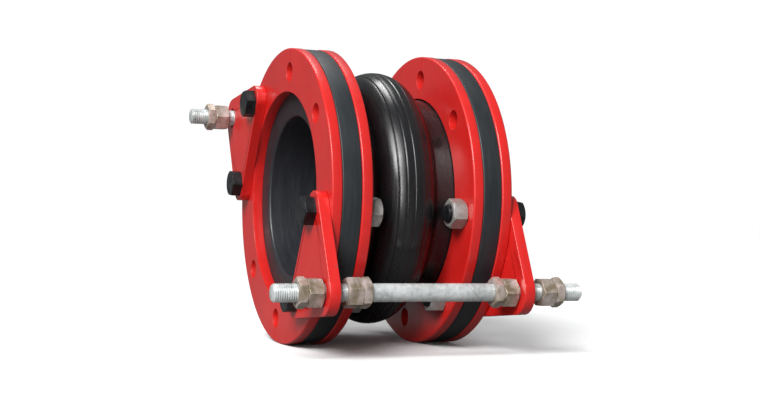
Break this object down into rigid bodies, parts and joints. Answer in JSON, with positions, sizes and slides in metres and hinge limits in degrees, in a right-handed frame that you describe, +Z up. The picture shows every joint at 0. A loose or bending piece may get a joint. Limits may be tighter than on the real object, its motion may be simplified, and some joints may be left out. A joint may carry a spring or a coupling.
{
  "type": "rubber expansion joint",
  "caption": "Single-arch rubber bellows clamped between split red steel rings, with bolted plates carrying nutted control rods at both sides.",
  "frame": {"origin": "on the pipe axis, at the centre of the arch", "axes": "+X along the pipe axis from the left end to the right end, +Z up, -Y towards the side with the lower control rod"},
  "size_m": [0.291, 0.3388, 0.28],
  "materials": {
    "ring_paint": "glossy red enamel",
    "plate_paint": "glossy red enamel",
    "black_steel": "black oxide",
    "zinc_nut": "dull zinc",
    "passivated_nut": "yellow passivated zinc",
    "zinc_rod": "galvanised",
    "cover_rubber": "satin moulded rubber",
    "lining_rubber": "smooth moulded rubber",
    "carcass_plies": "rubbered fabric plies",
    "body_ring_steel": "plain steel"
  },
  "bodies": {
    "left_flange": {"outer_ring_left_front": "ring_paint", "outer_ring_left_rear": "ring_paint", "retaining_ring_left_front": "ring_paint", "retaining_ring_left_rear": "ring_paint", "rod_plate_left_lower": "plate_paint", "rod_plate_left_upper": "plate_paint", "bolt_left_lower_a": "black_steel", "bolt_left_lower_b": "black_steel", "bolt_left_upper_a": "black_steel", "bolt_left_upper_b": "black_steel", "bolt_nut_left_lower_a": "zinc_nut", "bolt_nut_left_lower_b": "zinc_nut", "bolt_nut_left_upper_a": "zinc_nut", "bolt_nut_left_upper_b": "zinc_nut"},
    "left_neck": {"body_ring_left": "body_ring_steel"},
    "arch": {"inner_tube": "lining_rubber", "carcass": "carcass_plies", "cover": "cover_rubber"},
    "right_neck": {"body_ring_right": "body_ring_steel"},
    "right_flange": {"outer_ring_right_front": "ring_paint", "outer_ring_right_rear": "ring_paint", "retaining_ring_right_front": "ring_paint", "retaining_ring_right_rear": "ring_paint", "rod_plate_right_lower": "plate_paint", "rod_plate_right_upper": "plate_paint", "bolt_right_lower_a": "black_steel", "bolt_right_lower_b": "black_steel", "bolt_right_upper_a": "black_steel", "bolt_right_upper_b": "black_steel", "bolt_nut_right_lower_a": "zinc_nut", "bolt_nut_right_lower_b": "zinc_nut", "bolt_nut_right_upper_a": "zinc_nut", "bolt_nut_right_upper_b": "zinc_nut"},
    "lower_rod": {"control_rod_lower": "zinc_rod", "limit_nut_lower_1": "passivated_nut", "limit_nut_lower_2": "passivated_nut", "limit_nut_lower_3": "passivated_nut", "limit_nut_lower_4": "passivated_nut", "jam_nut_lower_1": "passivated_nut", "jam_nut_lower_2": "passivated_nut", "jam_nut_lower_3": "passivated_nut", "jam_nut_lower_4": "passivated_nut"},
    "upper_rod": {"control_rod_upper": "zinc_rod", "limit_nut_upper_1": "passivated_nut", "limit_nut_upper_2": "passivated_nut", "limit_nut_upper_3": "passivated_nut", "limit_nut_upper_4": "passivated_nut", "jam_nut_upper_1": "passivated_nut", "jam_nut_upper_2": "passivated_nut", "jam_nut_upper_3": "passivated_nut", "jam_nut_upper_4": "passivated_nut"}
  },
  "joints": [
    {"name": "flex_left", "type": "hinge", "parent": "left_flange", "child": "left_neck", "pos_m": [-0.037, 0, 0], "axis": [0, 0.8788, 0.4772], "range_deg": [-1.8, 1.8], "stiffness_Nm_per_rad": 900, "deforming": ["inner_tube", "carcass", "cover"]},
    {"name": "compress", "type": "slide", "parent": "left_neck", "child": "arch", "axis": [-1, 0, 0], "range_m": [0, 0.009], "stiffness_N_per_m": 75000, "deforming": ["inner_tube", "carcass", "cover"]},
    {"name": "extend", "type": "slide", "parent": "arch", "child": "right_neck", "axis": [1, 0, 0], "range_m": [0, 0.0115], "stiffness_N_per_m": 95000, "deforming": ["inner_tube", "carcass", "cover"]},
    {"name": "flex_right", "type": "hinge", "parent": "right_neck", "child": "right_flange", "pos_m": [0.037, 0, 0], "axis": [0, 0.8788, 0.4772], "range_deg": [-1.8, 1.8], "stiffness_Nm_per_rad": 900, "deforming": ["inner_tube", "carcass", "cover"]},
    {"name": "lower_rod_spin", "type": "hinge", "parent": "arch", "child": "lower_rod", "pos_m": [0, -0.1494, -0.08112], "axis": [1, 0, 0], "continuous": true},
    {"name": "upper_rod_spin", "type": "hinge", "parent": "arch", "child": "upper_rod", "pos_m": [0, 0.1494, 0.08112], "axis": [1, 0, 0], "continuous": true}
  ]
}
